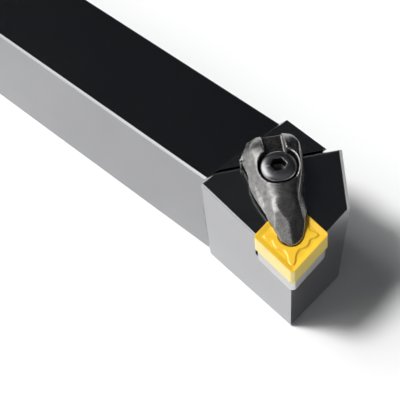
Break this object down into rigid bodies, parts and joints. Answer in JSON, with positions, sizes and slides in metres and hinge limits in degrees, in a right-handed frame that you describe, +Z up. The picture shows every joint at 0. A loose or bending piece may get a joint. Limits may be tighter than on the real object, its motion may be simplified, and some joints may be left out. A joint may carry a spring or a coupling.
{
  "type": "external turning tool",
  "caption": "Square-shank left-hand external turning tool with a rhombic indexable insert held by a forged top clamp.",
  "frame": {"origin": "centre of the shank's bottom seating face, midway along the shank", "axes": "+X along the shank to the cutting tip, +Y to the side away from the cutting side, +Z up from the seating face"},
  "size_m": [0.15, 0.032, 0.0363],
  "materials": {
    "holder_steel": "milled steel, blackened on top, satin grey on the sides",
    "coated_carbide": "gold coated cemented carbide",
    "bare_carbide": "ground cemented carbide",
    "screw_steel": "blackened screw steel",
    "forged_steel": "forged and tumbled steel, satin",
    "spring_steel": "drawn spring wire"
  },
  "bodies": {
    "root": {"holder": "holder_steel", "insert": "coated_carbide", "shim": "bare_carbide", "shim_screw": "screw_steel", "clamp": "forged_steel", "clamp_screw": "screw_steel", "clamp_spring": "spring_steel"}
  },
  "joints": []
}
